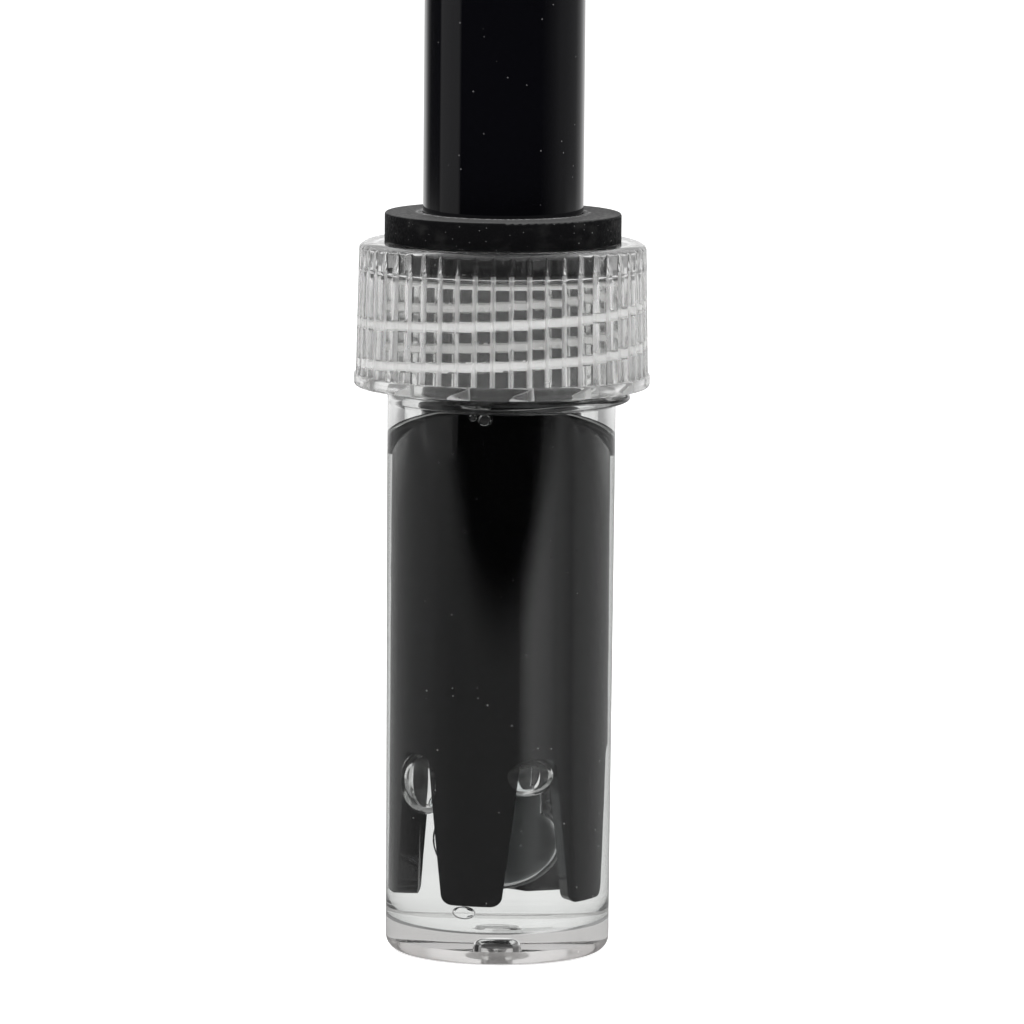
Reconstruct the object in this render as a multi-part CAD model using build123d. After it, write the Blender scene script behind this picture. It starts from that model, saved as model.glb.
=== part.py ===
from build123d import *
import os
from math import cos, radians, sin, sqrt, tan

# A pH electrode standing in its screw-capped storage bottle, in millimetres.
# The origin is the middle of the bottle's underside, +Z runs up the electrode and -Y is the front.

# Electrode shaft, and the guard of tines that its slotted end leaves round the bulb
SHAFT_DIAMETER = 12.0
SHAFT_LENGTH = 120.0
SHAFT_WALL = 1.2
GUARD_WALL = 1.6
TINE_COUNT = 4
TINE_LENGTH = 11.1
TINE_TURN = 18.0  # degrees from the front towards -X
TINE_CORNER = 0.8
SLOT_TOP_WIDTH = 2.6
SLOT_MOUTH_WIDTH = 5.0
SLOT_CORNER = 0.8
BULKHEAD_THICKNESS = 3.0

# Glass bulb and its stem
BULB_SPACE = 0.8  # between the bulb and the bore of the guard
BULB_WALL = 0.35
BULB_RECESS = 0.7
GEL_SPACE = 1.95  # between the stem and the bore of the shaft
STEM_WALL = 0.5
STEM_STAND = 3.0
NECK_BEAD_LENGTH = 0.7
NECK_BEAD_DEPTH = 0.12

# Sealed pieces inside the shaft
SEAL_WALL = 0.55
SEAL_FLANGE = 2.0
JUNCTION_DIAMETER = 0.9
WIRING_SPACE = 38.2  # from the top of the gel to the top of the shaft
CHAMBER_SEAL_THICKNESS = 5.0
BUFFER_HEIGHT = 55.0
STOPPER_DEPTH = 6.0
STOPPER_HEAD = 1.5
WIRE_DIAMETER = 0.6
MEASURING_WIRE_FOOT = 13.5  # above the bulb's centre
REFERENCE_WIRE_FOOT = 5.7  # above the seal
WIRE_TAIL = 3.5
SLEEVE_DIAMETER = 1.6
SLEEVE_LENGTH = 6.0
SLEEVE_GRIP = 2.5

# Head at the top of the shaft, with the inlet for a cable
HEAD_LENGTH = 9.0
HEAD_ROUND = 1.5
HEAD_ROOF = 5.0
SPIGOT_LENGTH = 8.0
SPIGOT_WALL = 1.2
INLET_DIAMETER = 4.2
JOINT_CHAMFER = 0.25

# Storage bottle
BOTTLE_HEIGHT = 51.1
BOTTLE_WALL = 1.3
BOTTLE_FLOOR = 2.2
BOTTLE_DRAFT = 0.23  # degrees
BASE_ROUND = 1.1
FLOOR_ROUND = 1.0
RIM_CHAMFER = 0.2
BEAD_HEIGHT = 0.7
BEAD_DEPTH = 0.5
BEAD_SHIFT = 0.5  # towards +X, so that the bead fades out on the other side
BEAD_GAP = 0.4
GATE_DIAMETER = 2.4
GATE_DEPTH = 1.2
SOLUTION_GAP = 1.3
SOLUTION_LEVEL = 38.9
SOLUTION_FRONT_RISE = 2.7
TIP_GAP = 2.0

# Screw cap
CAP_HEIGHT = 10.9
CAP_ROOF = 1.95
CAP_WALL = 1.2
CAP_DRAFT = 1.2  # degrees
CAP_ROUND = 1.1
RIB_COUNT = 50
RIB_DEPTH = 0.35
BAND_HEIGHT = 1.0
BAND_FLARE = 0.15
BAND_ROUND = 0.4
THREAD_SPACE = 1.15
RATCHET_COUNT = 14
RATCHET_HEIGHT = 0.8
RATCHET_DEPTH = 0.7
RATCHET_SHARE = 0.55  # a notch's share of the way to the next one

# Rubber grommet that holds the shaft in the cap
GROMMET_HEIGHT = 2.1
GROMMET_WALL = 1.5
GROMMET_OVERHANG = 1.3
GROMMET_ROUND = 0.2
GASKET_THICKNESS = 0.35
GASKET_MARGIN = 0.45

# Clearances
GLUE_LINE = 0.03
RUNNING_FIT = 0.05
FILM = 0.06

# Radii that follow from those sizes
shaft_radius = SHAFT_DIAMETER / 2
shaft_bore = shaft_radius - SHAFT_WALL
guard_bore = shaft_radius - GUARD_WALL
bulb_radius = guard_bore - BULB_SPACE
stem_radius = shaft_bore - GEL_SPACE
stem_bore = stem_radius - STEM_WALL
seal_radius = stem_radius + SEAL_WALL
junction_offset = (seal_radius + shaft_bore) / 2
wire_radius = WIRE_DIAMETER / 2
wire_offset = (stem_radius + shaft_bore) / 2
neck_radius = shaft_radius + SOLUTION_GAP + BOTTLE_WALL
bead_radius = neck_radius + BEAD_DEPTH
cap_bore = neck_radius + THREAD_SPACE
rib_radius = cap_bore + CAP_WALL
band_radius = rib_radius + BAND_FLARE
grommet_bore = shaft_radius + RUNNING_FIT
grommet_neck = grommet_bore + GROMMET_WALL
grommet_radius = grommet_neck + GROMMET_OVERHANG
gasket_radius = cap_bore - GASKET_MARGIN

# Heights that follow from those sizes
tine_tip = BOTTLE_FLOOR + TIP_GAP
bulkhead_bottom = tine_tip + TINE_LENGTH
bulkhead_top = bulkhead_bottom + BULKHEAD_THICKNESS
shaft_top = tine_tip + SHAFT_LENGTH
head_top = shaft_top + HEAD_LENGTH
bulb_centre = tine_tip + BULB_RECESS + bulb_radius
seal_top = bulkhead_top + SEAL_FLANGE
gel_top = shaft_top - WIRING_SPACE
chamber_top = gel_top + CHAMBER_SEAL_THICKNESS
stem_top = chamber_top + STEM_STAND
stopper_top = stem_top + STOPPER_HEAD
measuring_wire_foot = bulb_centre + MEASURING_WIRE_FOOT
measuring_wire_top = stopper_top + WIRE_TAIL
reference_wire_foot = seal_top + REFERENCE_WIRE_FOOT
reference_wire_top = chamber_top + WIRE_TAIL
gasket_bottom = BOTTLE_HEIGHT + RUNNING_FIT
gasket_top = gasket_bottom + GASKET_THICKNESS
cap_roof_bottom = gasket_top + RUNNING_FIT
cap_top = cap_roof_bottom + CAP_ROOF
cap_bottom = cap_top - CAP_HEIGHT
bead_top = cap_bottom - BEAD_GAP
bead_bottom = bead_top - BEAD_HEIGHT
grommet_bottom = cap_top + RUNNING_FIT
grommet_top = grommet_bottom + GROMMET_HEIGHT

# Directions round the axis, in degrees from +X
front_tine = -90 - TINE_TURN
tine_step = 360 / TINE_COUNT
wire_direction = front_tine
junction_direction = wire_direction + 180 + tine_step / 2  # over a slot


def turned(*corners):
    """Solid of revolution about the Z axis, from the corners (radius, height) of half its section."""
    outline = Polyline([(radius, 0, height) for radius, height in corners], close=True)
    return revolve(make_face(outline), Axis.Z)


def rod(radius, bottom, top):
    """Upright cylinder on the Z axis."""
    return turned((0, bottom), (radius, bottom), (radius, top), (0, top))


def aside(piece, offset, direction):
    """The piece moved out from the Z axis in a direction given in degrees."""
    return Rot(0, 0, direction) * Pos(offset, 0, 0) * piece


def circles_at(piece, end):
    """The piece's lowest (end 0) or highest (end -1) circular edges, from the smallest to the largest."""
    return piece.edges().filter_by(GeomType.CIRCLE).group_by(Axis.Z)[end].sort_by(SortBy.RADIUS)


def guard_slot(clearance):
    """One slot of the guard along +X, narrower by the clearance, with the round tips of its tines."""
    tip = tine_tip - clearance
    top = bulkhead_bottom - clearance
    below = tip - TIP_GAP / 2
    half_top = SLOT_TOP_WIDTH / 2 - clearance
    half_mouth = SLOT_MOUTH_WIDTH / 2 - clearance
    outline = Polyline(
        (-shaft_radius, below), (-shaft_radius, tip), (-half_mouth, tip), (-half_top, top),
        (half_top, top), (half_mouth, tip), (shaft_radius, tip), (shaft_radius, below), close=True,
    )
    face = make_face(outline)
    face = fillet(face.vertices().group_by(Axis.Y)[-1], SLOT_CORNER)
    mouth_corners = [corner for corner in face.vertices() if abs(abs(corner.X) - half_mouth) < GLUE_LINE]
    face = fillet(mouth_corners, TINE_CORNER)
    return extrude(Plane.YZ * face, SHAFT_DIAMETER)


def guarded_rod(clearance):
    """Shaft as a solid rod with its hollow slotted end, grown by the clearance."""
    tip = tine_tip - clearance
    piece = rod(shaft_radius + clearance, tip, shaft_top)
    piece -= rod(guard_bore - clearance, tip, bulkhead_bottom - clearance)
    slot = guard_slot(clearance)
    slots = [Rot(0, 0, front_tine + (number + 0.5) * tine_step) * slot for number in range(TINE_COUNT)]
    return piece - slots


def glass_form(bulb, stem, top, bead=0.0):
    """Ball and stem as one solid, with an optional bead where they are fused."""
    shoulder = bulb_centre + sqrt(bulb**2 - stem**2)
    ball_foot = (0, 0, bulb_centre - bulb)
    ball_side = (bulb, 0, bulb_centre)
    neck = (stem, 0, shoulder)
    neck_top = (stem, 0, shoulder + NECK_BEAD_LENGTH)
    neck_side = (stem + bead, 0, shoulder + NECK_BEAD_LENGTH / 2)
    collar = ThreePointArc(neck, neck_side, neck_top) if bead else Line(neck, neck_top)
    edges = [
        ThreePointArc(ball_foot, ball_side, neck),
        collar,
        Polyline(neck_top, (stem, 0, top), (0, 0, top), ball_foot),
    ]
    return revolve(make_face(edges), Axis.Z)


def electrode_body():
    """Moulded shaft with its guard, and the bulkhead that carries the seal and the junction."""
    piece = guarded_rod(0)
    piece -= rod(shaft_bore, bulkhead_top, shaft_top)
    piece -= rod(seal_radius, bulkhead_bottom, bulkhead_top)
    pin_hole = rod(JUNCTION_DIAMETER / 2, bulkhead_bottom, bulkhead_top)
    piece -= aside(pin_hole, junction_offset, junction_direction)
    return chamfer(circles_at(piece, -1)[-1], JOINT_CHAMFER)


def sensing_glass_tube():
    """Thin blown bulb fused to the end of a glass stem that is open at its top."""
    outside = glass_form(bulb_radius, stem_radius, stem_top, NECK_BEAD_DEPTH)
    inside = glass_form(bulb_radius - BULB_WALL, stem_bore, stem_top)
    return outside - inside


def inner_buffer():
    """Filling of the bulb and the lower stem, round the measuring wire."""
    fill_top = bulb_centre + BUFFER_HEIGHT
    piece = glass_form(bulb_radius - BULB_WALL - GLUE_LINE, stem_bore - GLUE_LINE, fill_top)
    return piece - rod(wire_radius + GLUE_LINE, measuring_wire_foot - GLUE_LINE, fill_top)


def measuring_wire():
    """Silver wire on the axis, from the filling up through the stopper."""
    return rod(wire_radius, measuring_wire_foot, measuring_wire_top)


def stem_stopper():
    """Plug with a head that closes the stem round the measuring wire."""
    hole = wire_radius + GLUE_LINE
    shank = stem_bore - GLUE_LINE
    foot = stem_top - STOPPER_DEPTH
    return turned(
        (hole, foot), (shank, foot), (shank, stem_top), (stem_radius, stem_top),
        (stem_radius, stopper_top), (hole, stopper_top),
    )


def stem_seal():
    """Flanged sleeve that holds the stem in the bulkhead."""
    hole = stem_radius + GLUE_LINE
    spigot = seal_radius - GLUE_LINE
    flange = shaft_bore - GLUE_LINE
    piece = turned(
        (hole, bulkhead_bottom), (spigot, bulkhead_bottom), (spigot, bulkhead_top),
        (flange, bulkhead_top), (flange, seal_top), (hole, seal_top),
    )
    pin_hole = rod(JUNCTION_DIAMETER / 2, bulkhead_top, seal_top)
    return piece - aside(pin_hole, junction_offset, junction_direction)


def reference_junction():
    """Porous pin through the bulkhead and the seal's flange."""
    pin = rod(JUNCTION_DIAMETER / 2 - GLUE_LINE, bulkhead_bottom, seal_top)
    return aside(pin, junction_offset, junction_direction)


def reference_gel():
    """Gel between the stem and the shaft, round the reference wire."""
    inner = stem_radius + GLUE_LINE
    outer = shaft_bore - GLUE_LINE
    piece = turned((inner, seal_top), (outer, seal_top), (outer, gel_top), (inner, gel_top))
    channel = rod(wire_radius + GLUE_LINE, reference_wire_foot - GLUE_LINE, gel_top)
    return piece - aside(channel, wire_offset, wire_direction)


def reference_wire():
    """Silver wire in the gel, led up through the chamber seal."""
    wire = rod(wire_radius, reference_wire_foot, reference_wire_top)
    return aside(wire, wire_offset, wire_direction)


def chamber_seal():
    """Disc that closes the gel chamber round the stem and the reference wire."""
    inner = stem_radius + GLUE_LINE
    outer = shaft_bore - GLUE_LINE
    piece = turned((inner, gel_top), (outer, gel_top), (outer, chamber_top), (inner, chamber_top))
    hole = rod(wire_radius + GLUE_LINE, gel_top, chamber_top)
    return piece - aside(hole, wire_offset, wire_direction)


def crimp_sleeve(wire_top):
    """Sleeve on the end of a wire, open above it for a cable's core."""
    hole = wire_radius + GLUE_LINE
    outer = SLEEVE_DIAMETER / 2
    bottom = wire_top - SLEEVE_GRIP
    top = bottom + SLEEVE_LENGTH
    return turned((hole, bottom), (outer, bottom), (outer, top), (hole, top))


def crimp_sleeves():
    """The two sleeves, one on each wire."""
    on_reference = aside(crimp_sleeve(reference_wire_top), wire_offset, wire_direction)
    return Compound([crimp_sleeve(measuring_wire_top).solid(), on_reference.solid()])


def head_cap():
    """Plain head, flush with the shaft, with a hollow spigot below and a cable inlet above."""
    spigot = shaft_bore - GLUE_LINE
    hollow = spigot - SPIGOT_WALL
    inlet = INLET_DIAMETER / 2
    foot = shaft_top - SPIGOT_LENGTH
    roof = head_top - HEAD_ROOF
    piece = turned(
        (hollow, foot), (spigot, foot), (spigot, shaft_top), (shaft_radius - JOINT_CHAMFER, shaft_top),
        (shaft_radius, shaft_top + JOINT_CHAMFER), (shaft_radius, head_top), (inlet, head_top),
        (inlet, roof), (hollow, roof),
    )
    return fillet(circles_at(piece, -1)[-1], HEAD_ROUND)


def bottle_bore(height):
    """Inside radius of the tapering bottle at one height."""
    return shaft_radius + SOLUTION_GAP - (BOTTLE_HEIGHT - height) * tan(radians(BOTTLE_DRAFT))


def bottle_hollow(clearance):
    """Inside of the bottle, smaller by the clearance."""
    floor = BOTTLE_FLOOR + clearance
    foot = bottle_bore(floor) - clearance
    mouth = bottle_bore(BOTTLE_HEIGHT) - clearance
    piece = turned((0, floor), (foot, floor), (mouth, BOTTLE_HEIGHT), (0, BOTTLE_HEIGHT))
    return fillet(circles_at(piece, 0), FLOOR_ROUND)


def bottle_bead():
    """Round-nosed ring under the neck, off centre."""
    inner = bottle_bore(bead_bottom) + BOTTLE_WALL / 2
    nose = bead_radius - BEAD_HEIGHT / 2
    low = (nose, 0, bead_bottom)
    high = (nose, 0, bead_top)
    tip = (bead_radius, 0, (bead_bottom + bead_top) / 2)
    edges = [
        ThreePointArc(low, tip, high),
        Polyline(high, (inner, 0, bead_top), (inner, 0, bead_bottom), low),
    ]
    return Pos(BEAD_SHIFT, 0, 0) * revolve(make_face(edges), Axis.Z)


def storage_bottle():
    """Clear tapering bottle with a bead below its neck and a gate dimple under its base."""
    outside = turned(
        (0, 0), (bottle_bore(0) + BOTTLE_WALL, 0), (neck_radius, BOTTLE_HEIGHT), (0, BOTTLE_HEIGHT)
    )
    outside = fillet(circles_at(outside, 0), BASE_ROUND)
    piece = outside + bottle_bead() - bottle_hollow(0) - rod(GATE_DIAMETER / 2, 0, GATE_DEPTH)
    return chamfer(circles_at(piece, -1), RIM_CHAMFER)


def storage_solution():
    """Storage solution round the electrode, drawn up the wall at the front."""
    slope = SOLUTION_FRONT_RISE / (shaft_radius + SOLUTION_GAP)
    surface = Plane(origin=(0, 0, SOLUTION_LEVEL), z_dir=(0, slope, 1))
    piece = split(bottle_hollow(FILM), bisect_by=surface, keep=Keep.BOTTOM)
    piece -= guarded_rod(FILM)
    return piece - glass_form(bulb_radius + FILM, stem_radius + FILM, bulkhead_top, NECK_BEAD_DEPTH)


def rib_outline(crest, height):
    """Level outline of the ribbed skirt: one arc for each rib."""
    pitch = 360 / RIB_COUNT

    def point(radius, number):
        angle = radians(number * pitch)
        return (radius * cos(angle), radius * sin(angle), height)

    valley = crest - RIB_DEPTH
    arcs = [
        ThreePointArc(point(valley, number), point(crest, number + 0.5), point(valley, number + 1))
        for number in range(RIB_COUNT)
    ]
    return make_face(arcs)


def ratchet_notches():
    """Notches whose roofs rise counter-clockwise, seen from above, and end in a step."""
    step = 360 / RATCHET_COUNT
    width = RATCHET_SHARE * step
    outer = cap_bore + RATCHET_DEPTH
    top = cap_bottom + RATCHET_HEIGHT
    section = make_face(
        Polyline(
            (neck_radius, 0, cap_bottom), (outer, 0, cap_bottom), (outer, 0, top), (neck_radius, 0, top),
            close=True,
        )
    )
    sector = Rot(0, 0, -width / 2) * revolve(section, Axis.Z, width)
    half_ramp = outer * sin(radians(width / 2))
    ramp = make_face(
        Polyline((-half_ramp, cap_bottom), (half_ramp, cap_bottom), (half_ramp, top), close=True)
    )
    notch = sector & extrude(Plane.YZ * ramp, outer)
    return [Rot(0, 0, number * step - width / 2) * notch for number in range(RATCHET_COUNT)]


def bottle_cap():
    """Clear screw cap with a ribbed skirt, a plain flared band and a hole for the grommet."""
    band_top = cap_bottom + BAND_HEIGHT
    top_crest = rib_radius - (cap_top - band_top) * tan(radians(CAP_DRAFT))
    skirt = loft([rib_outline(rib_radius, band_top), rib_outline(top_crest, cap_top)], ruled=True)
    envelope = rod(rib_radius, band_top, cap_top)
    envelope = fillet(circles_at(envelope, -1), CAP_ROUND)
    band = rod(band_radius, cap_bottom, band_top)
    band = fillet(circles_at(band, 0), BAND_ROUND)
    piece = (skirt & envelope) + band
    piece -= rod(cap_bore, cap_bottom, cap_roof_bottom)
    piece -= rod(grommet_neck + RUNNING_FIT, cap_roof_bottom, cap_top)
    return piece - ratchet_notches()


def sealing_grommet():
    """Rubber grommet: a flange on the cap, a neck through it and a gasket on the bottle's rim."""
    piece = turned(
        (grommet_bore, gasket_bottom), (gasket_radius, gasket_bottom), (gasket_radius, gasket_top),
        (grommet_neck, gasket_top), (grommet_neck, grommet_bottom), (grommet_radius, grommet_bottom),
        (grommet_radius, grommet_top), (grommet_bore, grommet_top),
    )
    return fillet(circles_at(piece, -1)[-1], GROMMET_ROUND)


PIECES = (
    storage_bottle,
    storage_solution,
    bottle_cap,
    sealing_grommet,
    electrode_body,
    sensing_glass_tube,
    inner_buffer,
    measuring_wire,
    stem_stopper,
    stem_seal,
    reference_junction,
    reference_gel,
    reference_wire,
    chamber_seal,
    crimp_sleeves,
    head_cap,
)

os.makedirs("parts", exist_ok=True)
for make_piece in PIECES:
    export_step(make_piece(), f"parts/{make_piece.__name__}.step")
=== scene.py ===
import math

import bmesh
import bpy
import numpy as np
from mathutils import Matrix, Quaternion, Vector


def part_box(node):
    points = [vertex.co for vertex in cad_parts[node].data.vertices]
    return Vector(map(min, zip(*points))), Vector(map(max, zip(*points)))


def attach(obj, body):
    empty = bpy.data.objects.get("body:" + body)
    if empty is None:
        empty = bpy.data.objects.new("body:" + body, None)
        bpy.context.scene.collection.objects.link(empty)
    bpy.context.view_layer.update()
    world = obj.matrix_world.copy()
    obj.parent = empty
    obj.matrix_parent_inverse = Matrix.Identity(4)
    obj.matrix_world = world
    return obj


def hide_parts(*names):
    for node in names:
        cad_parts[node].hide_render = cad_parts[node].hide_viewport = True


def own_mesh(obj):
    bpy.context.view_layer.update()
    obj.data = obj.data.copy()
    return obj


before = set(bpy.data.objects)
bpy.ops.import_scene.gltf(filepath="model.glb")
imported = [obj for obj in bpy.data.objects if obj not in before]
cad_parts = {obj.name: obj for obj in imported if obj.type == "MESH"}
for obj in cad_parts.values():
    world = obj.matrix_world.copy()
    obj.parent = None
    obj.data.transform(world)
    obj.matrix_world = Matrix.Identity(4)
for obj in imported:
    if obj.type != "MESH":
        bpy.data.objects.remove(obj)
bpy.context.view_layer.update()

# Looks of a pH electrode that stands in its storage bottle.
# Lengths are millimetres until a mesh is made.
MM = 0.001
TURN = 2 * math.pi
FRONT = -TURN / 4
SHARP_ANGLE = math.radians(35)
MERGE_DISTANCE = 0.0005


def box_mm(node):
    """Lowest and highest corner of a node, in millimetres."""
    low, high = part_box(node)
    return low / MM, high / MM


# Heights and radii read from the frame
bottle_low, bottle_high = box_mm("storage_bottle")
cap_low, cap_high = box_mm("bottle_cap")
shaft_low, shaft_high = box_mm("electrode_body")
rim_height = bottle_high.z
neck_radius = -bottle_low.x
bead_radius = (bottle_high.x - bottle_low.x) / 2
bead_shift = (bottle_high.x + bottle_low.x) / 2
band_radius = cap_high.x
cap_bottom = cap_low.z
cap_top = cap_high.z
shaft_radius = shaft_high.x

# Bottle sizes that no box gives
BOTTLE_WALL = 1.3
BOTTLE_FLOOR = 2.2
BOTTLE_DRAFT = math.radians(0.23)
BASE_ROUND = 1.1
FLOOR_ROUND = 1.0
RIM_CHAMFER = 0.2
BEAD_HEIGHT = 0.7
BEAD_GAP = 0.4
BEAD_FILLET = 0.2
GATE_RADIUS = 1.2
GATE_DEPTH = 1.2
GATE_ROUND = 0.6
GATE_LIP = 0.15
NECK_FOOT = 0.3  # plain neck between the bead and the thread
# Band on the rim's outer edge that is painted pure white as a highlight:
RIM_HIGHLIGHT_BAND = (0.3, 0.45)  # width and height
BOTTLE_COLUMNS = 288
rim_bore = neck_radius - BOTTLE_WALL
bead_top = cap_bottom - BEAD_GAP
bead_bottom = bead_top - BEAD_HEIGHT

# Cap sizes that no box gives
CAP_BORE = 9.75
CAP_ROOF = 1.95
CAP_HOLE = 7.6
CAP_ROUND = 1.1
CAP_DRAFT = math.radians(1.2)
BAND_HEIGHT = 1.0
BAND_FLARE = 0.15
BAND_ROUND = 0.4
BAND_EDGE = 0.12
HOLE_ROUND = 0.15
CEILING_ROUND = 0.3
RIB_COUNT = 50
RIB_DEPTH = 0.45
RIB_ROW_GAP = 0.6  # from a rounding to the next row of points on the wall
ROOF_FADE = 0.6  # lost share of the ribs' depth above the ceiling
VALLEY_SHARE = 4 / 14  # of a rib's width
RATCHET_COUNT = 14
RATCHET_HEIGHT = 0.8
RATCHET_DEPTH = 0.7
RATCHET_SHARE = 0.55  # a notch's share of the way to the next one
rib_radius = band_radius - BAND_FLARE
notch_radius = CAP_BORE + RATCHET_DEPTH
band_top = cap_bottom + BAND_HEIGHT
cap_ceiling = cap_top - CAP_ROOF

# Screw thread of one ridge on the neck and one in the cap
THREAD_PITCH = 3.0
RIDGE_DEPTH = 0.5
RIDGE_FOOT = 0.75
RIDGE_CREST = 0.5
NECK_RIDGE_PHASE = 46.4  # height of a turn at the front
CAP_RIDGE_PHASE = 45.1
ON_RIDGE = 0.02  # share of a ridge's depth from which a face is thread
ridge_bottom = cap_bottom + 1.7
ridge_top = rim_height - 1.1

# Storage solution
SOLUTION_LEVEL = 38.9
SOLUTION_FRONT_RISE = 2.7
WALL_OVERLAP = 0.03
WALL_MENISCUS = 0.3
SHAFT_MENISCUS = 0.25
MENISCUS_REACH = 0.4
SOLUTION_COLUMNS = 192
# Air in the solution: degrees from the front, radius, height, and sizes outward, round and up
POCKETS = (
    (-62, 5.25, 13.1, (1.55, 2.0, 2.4)),
    (22, 5.1, 14.0, (1.4, 1.9, 1.6)),
    (-17, 6.7, 40.95, (0.3, 0.3, 0.3)),
    (-10, 6.6, 40.8, (0.5, 0.5, 0.5)),
)
TINE_BUBBLE = (-25, 5.2, shaft_low.z - 0.6, (0.6, 0.8, 0.5))


def arc(centre, radius, start, end, steps=6):
    """Points of an arc in the section plane, with angles in degrees from the outward direction."""
    angles = np.radians(np.linspace(start, end, steps + 1))
    return [(centre[0] + radius * math.cos(a), centre[1] + radius * math.sin(a)) for a in angles]


def climb(radius_at, bottom, top, rows):
    """Points up or down a wall whose radius is a function of its height."""
    return [(radius_at(height), height) for height in np.linspace(bottom, top, rows)]


def turned(profile, columns, change=None, ring=False, inward=False):
    """Points and faces of a section turned about the Z axis, its radii and heights then changed."""
    radius, height = np.array(profile, float).T
    angle = np.arange(columns) * TURN / columns
    radius, angles = np.meshgrid(radius, angle, indexing="ij")
    height = np.repeat(height[:, None], columns, axis=1)
    if change:
        radius, height = change(radius, height, angles)
    points = np.stack([radius * np.cos(angles), radius * np.sin(angles), height], axis=-1)
    index = np.arange(radius.size).reshape(radius.shape)
    lower = index if ring else index[:-1]
    upper = np.roll(index, -1, axis=0) if ring else index[1:]
    corners = [lower, np.roll(lower, -1, axis=1), np.roll(upper, -1, axis=1), upper]
    faces = np.stack(corners[::-1] if inward else corners, axis=-1)
    return points.reshape(-1, 3), faces.reshape(-1, 4)


def make_piece(name, grids, body, node, materials):
    """Mesh object from one or more grids, which rides on a body and may stand for a node."""
    points, faces, count = [], [], 0
    for grid_points, grid_faces in grids:
        points.append(grid_points * MM)
        faces.append(grid_faces + count)
        count += len(grid_points)
    mesh = bpy.data.meshes.new(name)
    mesh.from_pydata(np.concatenate(points).tolist(), [], np.concatenate(faces).tolist())
    shape = bmesh.new()
    shape.from_mesh(mesh)
    bmesh.ops.remove_doubles(shape, verts=shape.verts, dist=MERGE_DISTANCE * MM)
    shape.to_mesh(mesh)
    shape.free()
    mesh.polygons.foreach_set("use_smooth", [True] * len(mesh.polygons))
    mesh.set_sharp_from_angle(angle=SHARP_ANGLE)
    for material in materials:
        mesh.materials.append(material)
    piece = bpy.data.objects.new(name, mesh)
    bpy.context.scene.collection.objects.link(piece)
    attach(piece, body)
    if node:
        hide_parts(node)
    return piece


def ridge(height, angles, phase):
    """Share of the thread's depth on a right-hand helix that has the phase's height at the front."""
    lead = height - phase - THREAD_PITCH * (angles - FRONT) / TURN
    offset = (lead + THREAD_PITCH / 2) % THREAD_PITCH - THREAD_PITCH / 2
    turn_height = height - offset
    flank = (RIDGE_FOOT - RIDGE_CREST) / 2
    share = np.clip((RIDGE_FOOT / 2 - np.abs(offset)) / flank, 0, 1)
    run_in = np.clip((turn_height - ridge_bottom) / RIDGE_CREST, 0, 1)
    run_out = np.clip((ridge_top - turn_height) / RIDGE_CREST, 0, 1)
    share = share * run_in * run_out
    return share * share * (3 - 2 * share)


def bottle_bore(height):
    """Inside radius of the tapering bottle at one height."""
    return rim_bore - (rim_height - height) * math.tan(BOTTLE_DRAFT)


def bottle_side(height):
    """Outside radius of the bottle at one height."""
    return bottle_bore(height) + BOTTLE_WALL


def surface_height(radius, angles):
    """Height of the tilted surface of the solution, drawn up where it meets the bottle and the shaft."""
    tilt = -SOLUTION_FRONT_RISE / rim_bore * radius * np.sin(angles)
    at_wall = WALL_MENISCUS * np.exp((radius - bottle_bore(SOLUTION_LEVEL)) / MENISCUS_REACH)
    from_shaft = np.maximum(radius - shaft_radius, 0)
    at_shaft = SHAFT_MENISCUS * np.exp(-from_shaft / MENISCUS_REACH)
    return SOLUTION_LEVEL + tilt + at_wall + at_shaft


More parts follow.
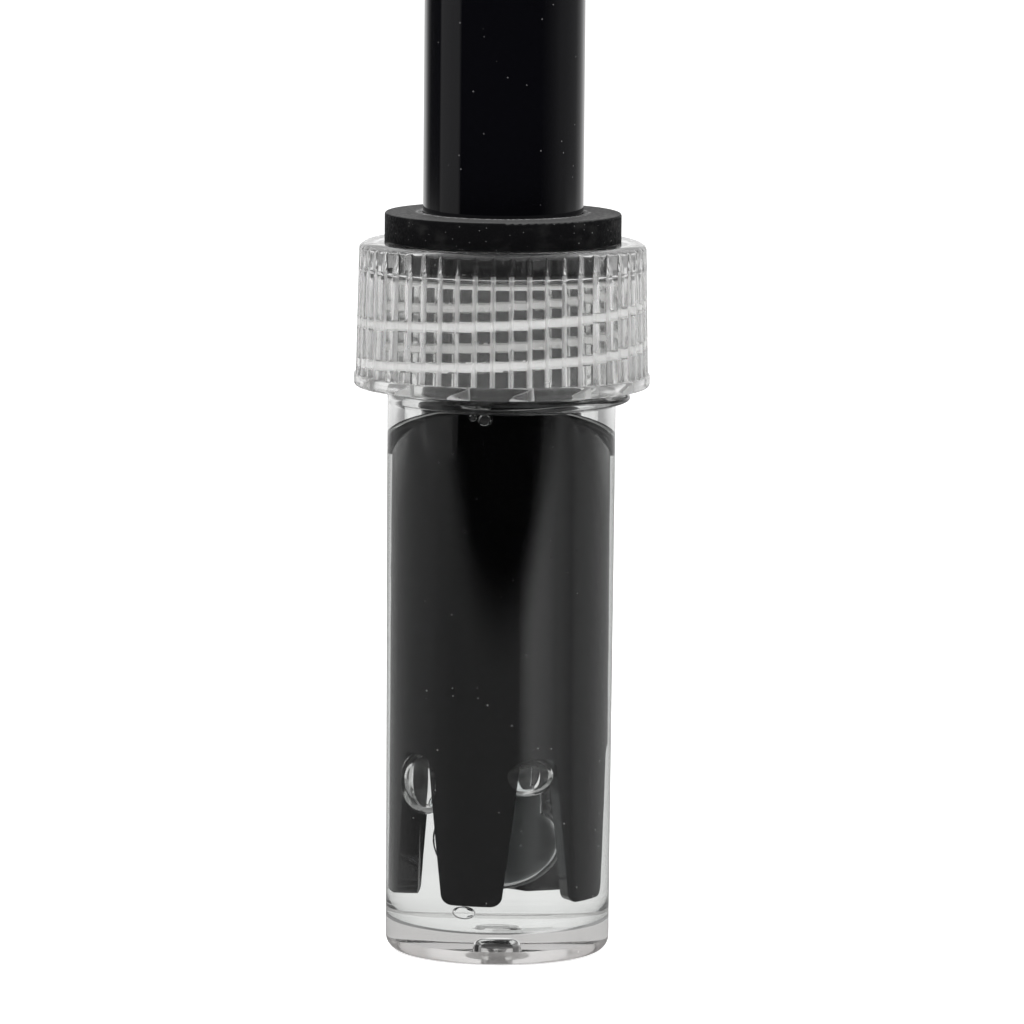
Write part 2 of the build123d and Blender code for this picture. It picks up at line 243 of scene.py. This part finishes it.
def bottle_grid():
    """Bottle wall with its gate dimple, round base, bead, threaded neck and open inside."""
    base_radius = bottle_side(0)
    nose = bead_radius - BEAD_HEIGHT / 2
    bead_middle = (bead_bottom + bead_top) / 2
    thread_foot = bead_top + NECK_FOOT
    floor_bore = bottle_bore(BOTTLE_FLOOR)
    profile = [(0, GATE_DEPTH), (GATE_RADIUS - GATE_ROUND, GATE_DEPTH)]
    profile += arc((GATE_RADIUS - GATE_ROUND, GATE_DEPTH - GATE_ROUND), GATE_ROUND, 90, 0, 8)
    profile += arc((GATE_RADIUS + GATE_LIP, GATE_LIP), GATE_LIP, 180, 270, 3)
    profile += arc((base_radius - BASE_ROUND, BASE_ROUND), BASE_ROUND, -90, 0, 10)
    profile += climb(bottle_side, BASE_ROUND + 0.5, bead_bottom - BEAD_FILLET, 12)
    fillet_centre = bottle_side(bead_bottom) + BEAD_FILLET
    profile += arc((fillet_centre, bead_bottom - BEAD_FILLET), BEAD_FILLET, 180, 90, 4)
    profile += arc((nose, bead_middle), BEAD_HEIGHT / 2, -90, 90, 10)
    profile += arc((fillet_centre, bead_top + BEAD_FILLET), BEAD_FILLET, -90, -180, 4)
    profile += climb(bottle_side, thread_foot, rim_height - RIM_CHAMFER - 0.2, 90)
    profile += [(neck_radius, rim_height - RIM_CHAMFER), (neck_radius - RIM_CHAMFER, rim_height)]
    profile += [(rim_bore + RIM_CHAMFER, rim_height), (rim_bore, rim_height - RIM_CHAMFER)]
    profile += climb(bottle_bore, rim_height - 1, BOTTLE_FLOOR + FLOOR_ROUND, 40)
    profile += arc((floor_bore - FLOOR_ROUND, BOTTLE_FLOOR + FLOOR_ROUND), FLOOR_ROUND, 0, -90, 8)[1:]
    profile += [(floor_bore * share, BOTTLE_FLOOR) for share in (0.7, 0.5, 0.3, 0.15, 0)]

    def add_details(radius, height, angles):
        side = bottle_side(height)
        thread = RIDGE_DEPTH * ridge(height, angles, NECK_RIDGE_PHASE)
        on_neck = (radius > side - RIM_CHAMFER / 2) & (height > thread_foot)
        on_bead = (radius > side) & (height < thread_foot)
        fading = 1 + bead_shift / (bead_radius - neck_radius) * np.cos(angles)
        radius = np.where(on_bead, side + (radius - side) * fading, radius)
        return np.where(on_neck, radius + thread, radius), height

    return turned(profile, BOTTLE_COLUMNS, add_details)


def cap_grid():
    """Cap wall with its ribs, plain flared band, ratchet ramps, thread and hole."""
    crown = (rib_radius - CAP_ROUND, cap_top - CAP_ROUND)
    profile = [(notch_radius, cap_bottom)]
    profile += arc((band_radius - BAND_ROUND, cap_bottom + BAND_ROUND), BAND_ROUND, -90, 0, 6)
    profile += arc((band_radius - BAND_EDGE, band_top - BAND_EDGE), BAND_EDGE, 0, 90, 3)
    profile += [(rib_radius, band_top + 0.02)]
    profile += climb(lambda height: rib_radius, band_top + RIB_ROW_GAP, crown[1] - RIB_ROW_GAP, 10)
    profile += arc(crown, CAP_ROUND, 0, 90, 12)
    profile += arc((CAP_HOLE + HOLE_ROUND, cap_top - HOLE_ROUND), HOLE_ROUND, 90, 180, 3)
    profile += [(CAP_HOLE, cap_ceiling)]
    profile += arc((CAP_BORE - CEILING_ROUND, cap_ceiling - CEILING_ROUND), CEILING_ROUND, 90, 0, 4)
    bore_foot = cap_bottom + RATCHET_HEIGHT + 0.1
    profile += climb(lambda height: CAP_BORE, cap_ceiling - RIB_ROW_GAP, bore_foot, 76)
    profile += [(CAP_BORE, cap_bottom), (notch_radius, cap_bottom)]
    ramp_rows = (len(profile) - 2, len(profile) - 1)

    def add_details(radius, height, angles):
        outside = (radius > notch_radius) & (height > band_top)
        rib = (2 * (angles * RIB_COUNT / TURN % 1) - 1) ** 4
        crest = rib_radius - (height - band_top) * math.tan(CAP_DRAFT)
        fading = 1 - ROOF_FADE * np.clip(height - cap_ceiling + 0.5, 0, 1)
        ribbed = np.minimum(radius, crest - RIB_DEPTH * fading * rib)
        inside = np.isclose(radius, CAP_BORE) & (height < cap_ceiling - 0.5)
        threaded = CAP_BORE - RIDGE_DEPTH * ridge(height, angles, CAP_RIDGE_PHASE)
        radius = np.where(outside, ribbed, np.where(inside, threaded, radius))
        to_step = 1 - angles * RATCHET_COUNT / TURN % 1
        ramp = np.clip(1 - to_step / RATCHET_SHARE, 0, 1)
        height = height.copy()
        for row in ramp_rows:
            height[row] += RATCHET_HEIGHT * ramp[row]
        return radius, height

    return turned(profile, RIB_COUNT * RATCHET_COUNT, add_details, ring=True)


def solution_grid():
    """Solution as one column that the electrode stands in, a hair wider than the bottle's bore."""
    floor_bore = bottle_bore(BOTTLE_FLOOR) + WALL_OVERLAP
    floor = BOTTLE_FLOOR - WALL_OVERLAP
    wall = bottle_bore(SOLUTION_LEVEL) + WALL_OVERLAP
    profile = [(0, floor), (floor_bore * 0.5, floor)]
    profile += arc((floor_bore - FLOOR_ROUND, floor + FLOOR_ROUND), FLOOR_ROUND, -90, 0, 8)
    profile += [
        (bottle_bore(height) + WALL_OVERLAP, height)
        for height in np.linspace(BOTTLE_FLOOR + 2 * FLOOR_ROUND, SOLUTION_LEVEL - 4, 10)
    ]
    surface_row = len(profile)
    gap = wall - shaft_radius
    profile += [(wall - gap * share, SOLUTION_LEVEL) for share in np.linspace(0, 1, 16)]
    profile += [(shaft_radius * share, SOLUTION_LEVEL) for share in (0.9, 0.5, 0)]

    def tilt_surface(radius, height, angles):
        height = height.copy()
        top = slice(surface_row, None)
        height[top] = surface_height(radius[top], angles[top])
        return radius, height

    return turned(profile, SOLUTION_COLUMNS, tilt_surface)


def blob_grid(bearing, radius, height, sizes):
    """Air in the solution: an egg with inward faces, its sizes being half its widths."""
    points, faces = turned(arc((0, 0), 1, -90, 90, 16), 32, inward=True)
    along, across, up = (points * sizes).T
    angle = FRONT + math.radians(bearing)
    x = (radius + along) * math.cos(angle) - across * math.sin(angle)
    y = (radius + along) * math.sin(angle) + across * math.cos(angle)
    return np.stack([x, y, height + up], axis=-1), faces


def new_node(tree, kind, inputs=(), **settings):
    """Shader node with its settings; inputs gives values, or other nodes' sockets, for its sockets."""
    made = tree.nodes.new("ShaderNode" + kind)
    for key, value in settings.items():
        setattr(made, key, value)
    for socket, value in dict(inputs).items():
        if isinstance(value, bpy.types.NodeSocket):
            tree.links.new(value, made.inputs[socket])
        else:
            made.inputs[socket].default_value = value
    return made


def new_material(name, **values):
    """Material with a Principled shader whose sockets get the values, its tree and the shader."""
    material = bpy.data.materials.new(name)
    material.use_nodes = True
    tree = material.node_tree
    shader = tree.nodes["Principled BSDF"]
    for key, value in values.items():
        socket = shader.inputs[key.replace("_", " ")]
        socket.default_value = (*value, 1) if isinstance(value, tuple) else value
    return material, tree, shader


def place(tree, per_mm=(1, 1, 1)):
    """Object coordinates in millimetres, multiplied by a number for each axis."""
    coordinates = new_node(tree, "TexCoord").outputs["Object"]
    scale = [number / MM for number in per_mm]
    return new_node(tree, "Mapping", {"Vector": coordinates, "Scale": scale}).outputs["Vector"]


def noise(tree, per_mm, detail=2.0):
    """Noise from 0 to 1; per_mm is its number of features in a millimetre along each axis."""
    inputs = {"Vector": place(tree, per_mm), "Scale": 1.0, "Detail": detail}
    return new_node(tree, "TexNoise", inputs).outputs["Fac"]


def spread(tree, value, low, high, to_low=0.0, to_high=1.0):
    """Smooth step of a value between two limits."""
    inputs = {"Value": value, "From Min": low, "From Max": high, "To Min": to_low, "To Max": to_high}
    return new_node(tree, "MapRange", inputs, interpolation_type="SMOOTHSTEP").outputs["Result"]


def maths(tree, operation, first, second):
    """Result of a two-value operation."""
    return new_node(tree, "Math", {0: first, 1: second}, operation=operation).outputs[0]


def blend_colours(tree, share, low, high):
    """Colour between two colours."""
    made = new_node(tree, "Mix", data_type="RGBA")
    tree.links.new(share, made.inputs["Factor"])
    for socket, colour in (("A", low), ("B", high)):
        target = next(s for s in made.inputs if s.name == socket and s.type == "RGBA")
        if isinstance(colour, bpy.types.NodeSocket):
            tree.links.new(colour, target)
        else:
            target.default_value = (*colour, 1)
    return next(s for s in made.outputs if s.type == "RGBA")


def bump(tree, shader, height, depth, strength=1.0):
    """Bump of the given depth in millimetres on a shader."""
    inputs = {"Height": height, "Distance": depth * MM, "Strength": strength}
    tree.links.new(new_node(tree, "Bump", inputs).outputs["Normal"], shader.inputs["Normal"])


def specks(tree, cells_per_mm, radius, share):
    """Mask of small spots: one in some of the cells, within a radius given in cells."""
    cells = new_node(tree, "TexVoronoi", {"Vector": place(tree, cells_per_mm), "Scale": 1.0})
    spot = spread(tree, cells.outputs["Distance"], radius, radius * 0.5)
    chosen = new_node(tree, "SeparateColor", {"Color": cells.outputs["Color"]}).outputs["Red"]
    kept = maths(tree, "LESS_THAN", chosen, share)
    return maths(tree, "MULTIPLY", spot, kept)


def clear_material(name, colour, roughness, ior, wave, specular=1.0, clear=1.0):
    """Clear plastic or liquid with faint waves in its surface; the share that isn't clear is milky, and
    for the rim and the air a painted highlight.
    """
    material, tree, shader = new_material(
        name, Base_Color=colour, Transmission_Weight=clear, IOR=ior, Specular_Tint=(specular,) * 3
    )
    haze = spread(tree, noise(tree, (0.6, 0.6, 0.25)), 0.3, 0.75, roughness * 0.6, roughness * 1.4)
    tree.links.new(haze, shader.inputs["Roughness"])
    if wave:
        bump(tree, shader, noise(tree, (0.5, 0.5, 0.2)), wave)
    return material


def shaft_material(name, roughness):
    """Glossy black plastic with dust, fine scratches and faint moulding waves."""
    material, tree, shader = new_material(name, IOR=1.5)
    height = new_node(tree, "SeparateXYZ", {"Vector": place(tree)}).outputs["Z"]
    settled = spread(tree, height, 30, 15, 0.25, 1.0)
    dust = maths(tree, "MULTIPLY", specks(tree, (1.2, 1.2, 1.2), 0.09, 0.35), settled)
    colour = blend_colours(tree, dust, (0.0012, 0.0012, 0.0018), (0.4, 0.4, 0.4))
    tree.links.new(colour, shader.inputs["Base Color"])
    streaks = noise(tree, (3, 3, 0.12), 4)
    scratched = spread(tree, streaks, 0.55, 0.8, roughness, roughness * 2.2)
    rough = maths(tree, "MAXIMUM", scratched, maths(tree, "MULTIPLY", dust, 0.6))
    tree.links.new(rough, shader.inputs["Roughness"])
    bump(tree, shader, noise(tree, (0.25, 0.25, 0.05)), 0.01)
    return material


def rubber_material():
    """Dusty black rubber with scuffs, lint and crumbs of dust where the shaft goes in."""
    material, tree, shader = new_material("grommet_rubber_look", IOR=1.45, Specular_IOR_Level=0.12)
    scuffs = spread(tree, noise(tree, (0.5, 0.5, 0.9), 6), 0.5, 0.75)
    dusty = blend_colours(tree, scuffs, (0.003, 0.003, 0.0035), (0.012, 0.012, 0.012))
    facing = new_node(tree, "SeparateXYZ", {"Vector": new_node(tree, "TexCoord").outputs["Normal"]})
    upward = spread(tree, facing.outputs["Z"], 0.5, 0.9)
    settled = blend_colours(tree, upward, dusty, (0.075, 0.075, 0.075))
    lint = maths(tree, "MAXIMUM", specks(tree, (2, 2, 2), 0.12, 0.3), specks(tree, (4, 4, 4), 0.16, 0.2))
    linty = blend_colours(tree, lint, settled, (0.2, 0.2, 0.2))
    from_axis = new_node(tree, "VectorMath", {0: place(tree, (1, 1, 0))}, operation="LENGTH")
    at_shaft = spread(tree, from_axis.outputs["Value"], shaft_radius + 0.7, shaft_radius + 0.4)
    crumbs = maths(tree, "MULTIPLY", at_shaft, spread(tree, noise(tree, (3, 3, 3), 4), 0.45, 0.6))
    colour = blend_colours(tree, crumbs, linty, (0.35, 0.35, 0.35))
    tree.links.new(colour, shader.inputs["Base Color"])
    rough = spread(tree, noise(tree, (4, 4, 4), 5), 0.3, 0.7, 0.5, 0.75)
    tree.links.new(rough, shader.inputs["Roughness"])
    bump(tree, shader, noise(tree, (7, 7, 7), 4), 0.03)
    return material


def plain_material(name, colour, other, roughness, metallic=0.0, grain=(6, 6, 6), depth=0.01):
    """Simple procedural finish of a hidden piece: two close colours, uneven gloss and a fine grain."""
    material, tree, shader = new_material(name, Metallic=metallic)
    pattern = noise(tree, grain, 4)
    tree.links.new(blend_colours(tree, pattern, colour, other), shader.inputs["Base Color"])
    rough = spread(tree, pattern, 0.3, 0.7, roughness * 0.8, roughness * 1.2)
    tree.links.new(rough, shader.inputs["Roughness"])
    bump(tree, shader, pattern, depth)
    return material


def dress_nodes():
    """Gives each node that stays its own material."""
    glass = (0.97, 0.985, 0.99)
    finishes = {
        "sealing_grommet": rubber_material(),
        "electrode_body": shaft_material("shaft_look", 0.05),
        "head_cap": shaft_material("head_look", 0.22),
        "sensing_glass_tube": clear_material("bulb_glass_look", glass, 0.005, 1.06, 0.004, clear=0.97),
        "inner_buffer": clear_material("buffer_look", (0.98, 0.99, 0.99), 0.005, 1.02, 0.002),
        "reference_gel": plain_material("gel_look", (0.7, 0.72, 0.72), (0.8, 0.81, 0.8), 0.3),
        "measuring_wire": plain_material("silver_look", (0.8, 0.79, 0.77), (0.6, 0.59, 0.57), 0.3, 1.0),
        "stem_stopper": plain_material("stopper_look", (0.12, 0.12, 0.12), (0.2, 0.2, 0.2), 0.7),
        "reference_junction": plain_material("ceramic_look", (0.8, 0.78, 0.73), (0.65, 0.62, 0.57), 0.8),
        "crimp_sleeves": plain_material("sleeve_look", (0.7, 0.67, 0.6), (0.55, 0.52, 0.46), 0.35, 1.0),
    }
    finishes["reference_wire"] = finishes["measuring_wire"]
    finishes["stem_seal"] = finishes["stem_stopper"]
    finishes["chamber_seal"] = finishes["stem_stopper"]
    for node, material in finishes.items():
        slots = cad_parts[node].data.materials
        slots.clear()
        slots.append(material)


def dress_faces(piece, choose):
    """Gives each face the look whose number a function picks from its radius, angle, height and tilt."""
    faces = piece.data.polygons
    centres = np.empty(len(faces) * 3)
    normals = np.empty(len(faces) * 3)
    faces.foreach_get("center", centres)
    faces.foreach_get("normal", normals)
    x, y, height = centres.reshape(-1, 3).T / MM
    numbers = choose(np.hypot(x, y), np.arctan2(y, x), height, normals.reshape(-1, 3)[:, 2])
    faces.foreach_set("material_index", numbers.astype(np.int32))


def build_bottle():
    """Bottle with its wet inside, a milky thread, a rim painted white as a highlight, and a foot that
    lets the table's light in.
    """
    colour = (0.93, 0.935, 0.93)
    looks = [
        clear_material("clear_plastic_look", colour, 0.01, 1.5, 0.006),
        clear_material("wet_plastic_look", colour, 0.01, 1.5, 0, specular=0.05),
        clear_material("milky_thread_look", (0.84, 0.84, 0.83), 0.3, 1.5, 0.004, clear=0.2),
        # Pure white and not clear: a painted highlight on the rim
        clear_material("rim_painted_highlight_look", (0.98, 0.98, 0.97), 0.3, 1.5, 0.004, clear=0.0),
        clear_material("foot_look", colour, 0.02, 1.05, 0.0),
        clear_material("milky_foot_look", (0.55, 0.535, 0.525), 0.2, 1.05, 0.0, clear=0.75),
        # Near black: painted shade on the gate dimple's rounded edge
        clear_material("painted_gate_shade_look", (0.05, 0.05, 0.05), 0.1, 1.5, 0.0),
    ]

    def choose(radius, angles, height, tilt):
        inside = (radius < bottle_bore(height) + 0.1) & (height > BOTTLE_FLOOR + FLOOR_ROUND)
        wet = inside & (height < surface_height(radius, angles))
        on_ridge = ridge(height, angles, NECK_RIDGE_PHASE) > ON_RIDGE
        thread = ~inside & (height > bead_top + 0.5) & on_ridge
        # Faces on the rim's outer edge get the painted highlight
        rim = (radius > neck_radius - RIM_HIGHLIGHT_BAND[0]) & (height > rim_height - RIM_HIGHLIGHT_BAND[1])
        rounding = (height < BASE_ROUND) & (radius > bottle_side(0) - BASE_ROUND)
        foot = (height < 0.01) & (radius > GATE_RADIUS + 0.2)
        below_roof = GATE_DEPTH - height
        # Faces on the gate dimple's rounded edge get the painted shade
        painted_gate_shade = (radius < GATE_RADIUS) & (below_roof > 0.05) & (below_roof < GATE_ROUND)
        return np.select([rim, thread, wet, rounding, foot, painted_gate_shade], [3, 2, 1, 5, 4, 6], 0)

    grids = [bottle_grid()]
    bottle = make_piece("bottle_shell", grids, "bottle", "storage_bottle", looks)
    dress_faces(bottle, choose)


def build_cap():
    """Cap that is milky in its ribs' valleys, on its bore and ratchet, and most of all on its thread."""
    colour = (0.98, 0.98, 0.975)
    looks = [
        clear_material("cap_plastic_look", colour, 0.03, 1.53, 0.004, clear=0.995),
        clear_material("milky_valley_look", colour, 0.3, 1.53, 0.004, clear=0.87),
        clear_material("milky_bore_look", colour, 0.08, 1.53, 0.004, clear=0.92),
        clear_material("milky_cap_thread_look", colour, 0.3, 1.53, 0.004, clear=0.0),
        clear_material("milky_ratchet_look", colour, 0.3, 1.53, 0.004, clear=0.3),
        clear_material("milky_skirt_look", colour, 0.06, 1.53, 0.004, clear=0.98),
    ]

    def choose(radius, angles, height, tilt):
        inside = (radius < CAP_BORE + 0.05) & (height < cap_ceiling - 0.2)
        thread = inside & (ridge(height, angles, CAP_RIDGE_PHASE) > ON_RIDGE)
        across = angles * RIB_COUNT / TURN % 1
        skirt = (radius > CAP_BORE + 0.05) & (height > band_top) & (height < cap_ceiling)
        valley = skirt & (np.abs(across - 0.5) > 0.5 - VALLEY_SHARE / 2)
        at_notch = np.abs(radius - CAP_BORE - RATCHET_DEPTH / 2) < RATCHET_DEPTH / 2 + 0.02
        notch = at_notch & (height < band_top)
        ramp = notch & (np.abs(tilt) < 0.999)
        step = ramp & (np.abs(tilt) < 0.1)
        return np.select([thread, inside, valley, step, ramp, skirt], [3, 2, 1, 1, 4, 5], 0)

    cap = make_piece("cap_shell", [cap_grid()], "cap", "bottle_cap", looks)
    dress_faces(cap, choose)


def sink_with_solution(piece):
    """Gives a piece its own copy of its mesh."""
    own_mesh(piece)


def build_solution():
    """Solution, whose sides show no gloss of their own because they lie on the bottle's wall."""
    colour = (0.97, 0.975, 0.97)
    looks = [
        clear_material("solution_look", colour, 0.004, 1.36, 0.0),
        clear_material("solution_side_look", colour, 0.004, 1.36, 0.0, specular=0.05),
    ]
    grids = [solution_grid()]
    piece = make_piece("solution_column", grids, "bottle", "storage_solution", looks)
    dress_faces(piece, lambda radius, angles, height, tilt: np.where(np.abs(tilt) < 0.3, 1, 0))
    sink_with_solution(piece)


def build_air():
    """Air in the solution: pockets in two slots, two bubbles at the surface and one under a tine."""
    colour = (0.95, 0.95, 0.95)
    # The small share that isn't clear paints a white highlight on the walls of the air
    pocket_look = clear_material("air_pocket_look", colour, 0.0, 1.36, 0.0, clear=0.97)
    pockets = [blob_grid(*pocket) for pocket in POCKETS]
    sink_with_solution(make_piece("air_pockets", pockets, "bottle", None, [pocket_look]))
    faint_look = clear_material("faint_bubble_look", colour, 0.0, 1.15, 0.0)
    bubble = blob_grid(*TINE_BUBBLE)
    sink_with_solution(make_piece("tine_bubble", [bubble], "bottle", None, [faint_look]))


# The studio, in metres
CAMERA_PLACE = Vector((0.00085, -0.665, 0.115))
CAMERA_TARGET = Vector((0.00085, 0, 0.0331))
CAMERA_LENS = 314.3
CAMERA_ROLL = math.radians(0.5)
FLOOR_FRONT = -0.24
FLOOR_HALF_WIDTH = 0.34
FLOOR_BACK = 1.5
FLOOR_DROP = 0.02 * MM  # keeps it clear of the bottle's underside
LAMP_SIZE = 0.4
LAMPS = {"key_lamp": ((-0.5, -0.35, 0.6), 6.0), "fill_lamp": ((0.6, -0.2, 0.4), 3.0)}  # places and watts
STUDIO_DARK = 0.012
# Brightness that a gloss surface sees round the horizon, by degrees from the front towards +X
STUDIO = (
    (-180, 1.0), (-152, 0.9), (-140, 0.25), (-130, 0.03), (-105, 0.02), (-102, 0.38), (-68, 0.38),
    (-64, STUDIO_DARK), (55, STUDIO_DARK), (72, 0.09), (90, 0.2), (125, 0.22), (140, 0.5), (155, 0.9),
    (180, 1.0),
)
OVERHEAD = 0.9
OVERHEAD_START = (0.3, 0.6)  # sines of heights above the horizon
TABLE = 0.9  # beyond the floor, at the back
TABLE_START = (-0.085, -0.1)  # sines of heights
TABLE_BEHIND = (0.1, 0.35)  # cosines of bearings from the back
AMBIENT = 0.55
AMBIENT_THROUGH_PLASTIC = 2.0
FLOOR_GLOW = 0.6
FLOOR_THROUGH_PLASTIC = 0.95
# Brightness of the floor that a gloss surface sees, by degrees from the front towards +X
FLOOR_IN_GLOSS = (
    (-180, 0.28), (-72, 0.28), (-62, 0.21), (20, 0.21), (30, 0.6), (34, 0.76), (54, 0.7), (62, 0.5),
    (70, 0.33), (76, 0.22), (82, 0.36), (180, 0.36),
)
FLOOR_FADE = (-0.23, -0.15)  # to the front, where the floor is dark in a gloss surface
FLOOR_BEHIND = (0.27, 0.36)  # to the back, where it is as bright as the table


def add_camera():
    """Camera at the photograph's place."""
    data = bpy.data.cameras.new("camera")
    data.lens = CAMERA_LENS
    camera = bpy.data.objects.new("camera", data)
    bpy.context.scene.collection.objects.link(camera)
    camera.location = CAMERA_PLACE
    camera.rotation_mode = "QUATERNION"
    look = (CAMERA_TARGET - CAMERA_PLACE).to_track_quat("-Z", "Y")
    camera.rotation_quaternion = look @ Quaternion((0, 0, 1), CAMERA_ROLL)
    bpy.context.scene.camera = camera


def by_bearing(tree, parts, brightness_at):
    """Grey that changes round the horizon, from pairs of a bearing in degrees and a brightness."""
    front = maths(tree, "MULTIPLY", parts.outputs["Y"], -1.0)
    bearing = maths(tree, "ARCTAN2", parts.outputs["X"], front)
    inputs = {"Value": bearing, "From Min": -math.pi, "From Max": math.pi}
    share = new_node(tree, "MapRange", inputs).outputs["Result"]
    ramp = new_node(tree, "ValToRGB", {"Fac": share})
    stops = ramp.color_ramp.elements
    while len(stops) < len(brightness_at):
        stops.new(0.5)
    for stop, (degrees, brightness) in zip(stops, brightness_at):
        stop.position = (degrees + 180) / 360
        stop.color = (brightness, brightness, brightness, 1)
    return ramp.outputs["Color"]


def light_world():
    """White to the camera and through clear plastic, a studio in reflections and soft light elsewhere."""
    world = bpy.data.worlds.new("studio")
    bpy.context.scene.world = world
    world.use_nodes = True
    tree = world.node_tree
    path = new_node(tree, "LightPath")
    direction = new_node(tree, "TexCoord").outputs["Generated"]
    parts = new_node(tree, "SeparateXYZ", {"Vector": direction})
    overhead = spread(tree, parts.outputs["Z"], *OVERHEAD_START)
    studio = blend_colours(tree, overhead, by_bearing(tree, parts, STUDIO), (OVERHEAD,) * 3)
    below = spread(tree, parts.outputs["Z"], *TABLE_START)
    table = maths(tree, "MULTIPLY", below, spread(tree, parts.outputs["Y"], *TABLE_BEHIND))
    studio = blend_colours(tree, table, studio, (TABLE,) * 3)
    mirrored = maths(tree, "GREATER_THAN", path.outputs["Glossy Depth"], 0.5)
    scattered = maths(tree, "GREATER_THAN", path.outputs["Diffuse Depth"], 0.5)
    behind = blend_colours(tree, scattered, (1, 1, 1), (AMBIENT_THROUGH_PLASTIC,) * 3)
    seen = blend_colours(tree, mirrored, behind, studio)
    lit = blend_colours(tree, path.outputs["Is Diffuse Ray"], seen, (AMBIENT,) * 3)
    tree.links.new(lit, tree.nodes["Background"].inputs["Color"])


def add_floor():
    """Pale floor that ends in front of the object, almost white to the camera, with its shadow kept; in
    gloss surfaces it glows with painted light, a pool of it to the front right.
    """
    corners = [
        (-FLOOR_HALF_WIDTH, FLOOR_FRONT, 0), (FLOOR_HALF_WIDTH, FLOOR_FRONT, 0),
        (FLOOR_HALF_WIDTH, FLOOR_BACK, 0), (-FLOOR_HALF_WIDTH, FLOOR_BACK, 0),
    ]
    mesh = bpy.data.meshes.new("floor")
    mesh.from_pydata(corners, [], [(0, 1, 2, 3)])
    floor = bpy.data.objects.new("floor", mesh)
    floor.location.z = -FLOOR_DROP
    bpy.context.scene.collection.objects.link(floor)
    material, tree, shader = new_material("floor_look", Base_Color=(0.86, 0.86, 0.86), Roughness=0.9)
    shader.inputs["Specular IOR Level"].default_value = 0.0
    shader.inputs["Emission Color"].default_value = (1, 1, 1, 1)
    path = new_node(tree, "LightPath")
    glow = maths(tree, "MULTIPLY", path.outputs["Is Camera Ray"], FLOOR_GLOW)
    tree.links.new(glow, shader.inputs["Emission Strength"])
    # Painted light: the glow that gloss surfaces see changes with place on the floor
    parts = new_node(tree, "SeparateXYZ", {"Vector": new_node(tree, "TexCoord").outputs["Object"]})
    fade = spread(tree, parts.outputs["Y"], *FLOOR_FADE)
    in_gloss = blend_colours(tree, fade, (STUDIO_DARK,) * 3, by_bearing(tree, parts, FLOOR_IN_GLOSS))
    far_off = spread(tree, parts.outputs["Y"], *FLOOR_BEHIND)
    in_gloss = blend_colours(tree, far_off, in_gloss, (TABLE,) * 3)
    mirrored = maths(tree, "GREATER_THAN", path.outputs["Glossy Depth"], 0.5)
    brightness = blend_colours(tree, mirrored, (FLOOR_THROUGH_PLASTIC,) * 3, in_gloss)
    plain = new_node(tree, "Emission", {"Color": brightness})
    direct = maths(tree, "MAXIMUM", path.outputs["Is Camera Ray"], path.outputs["Is Diffuse Ray"])
    mixed = new_node(tree, "MixShader", {0: direct, 1: plain.outputs[0], 2: shader.outputs[0]})
    tree.links.new(mixed.outputs[0], tree.nodes["Material Output"].inputs["Surface"])
    mesh.materials.append(material)


def add_lamp(name, location, power):
    """Square soft light that faces the middle of the object and isn't seen in reflections."""
    data = bpy.data.lights.new(name, "AREA")
    data.shape = "SQUARE"
    data.size = LAMP_SIZE
    data.energy = power
    lamp = bpy.data.objects.new(name, data)
    lamp.location = location
    lamp.rotation_euler = (CAMERA_TARGET - Vector(location)).to_track_quat("-Z", "Y").to_euler()
    lamp.visible_glossy = False
    lamp.visible_transmission = False
    bpy.context.scene.collection.objects.link(lamp)


add_camera()
light_world()
add_floor()
for lamp_name, (lamp_place, lamp_power) in LAMPS.items():
    add_lamp(lamp_name, lamp_place, lamp_power)
dress_nodes()
build_bottle()
build_cap()
build_solution()
build_air()

scene = bpy.context.scene
scene.view_settings.view_transform = "Standard"
scene.cycles.max_bounces = 24
scene.cycles.transmission_bounces = 24
scene.cycles.glossy_bounces = 8
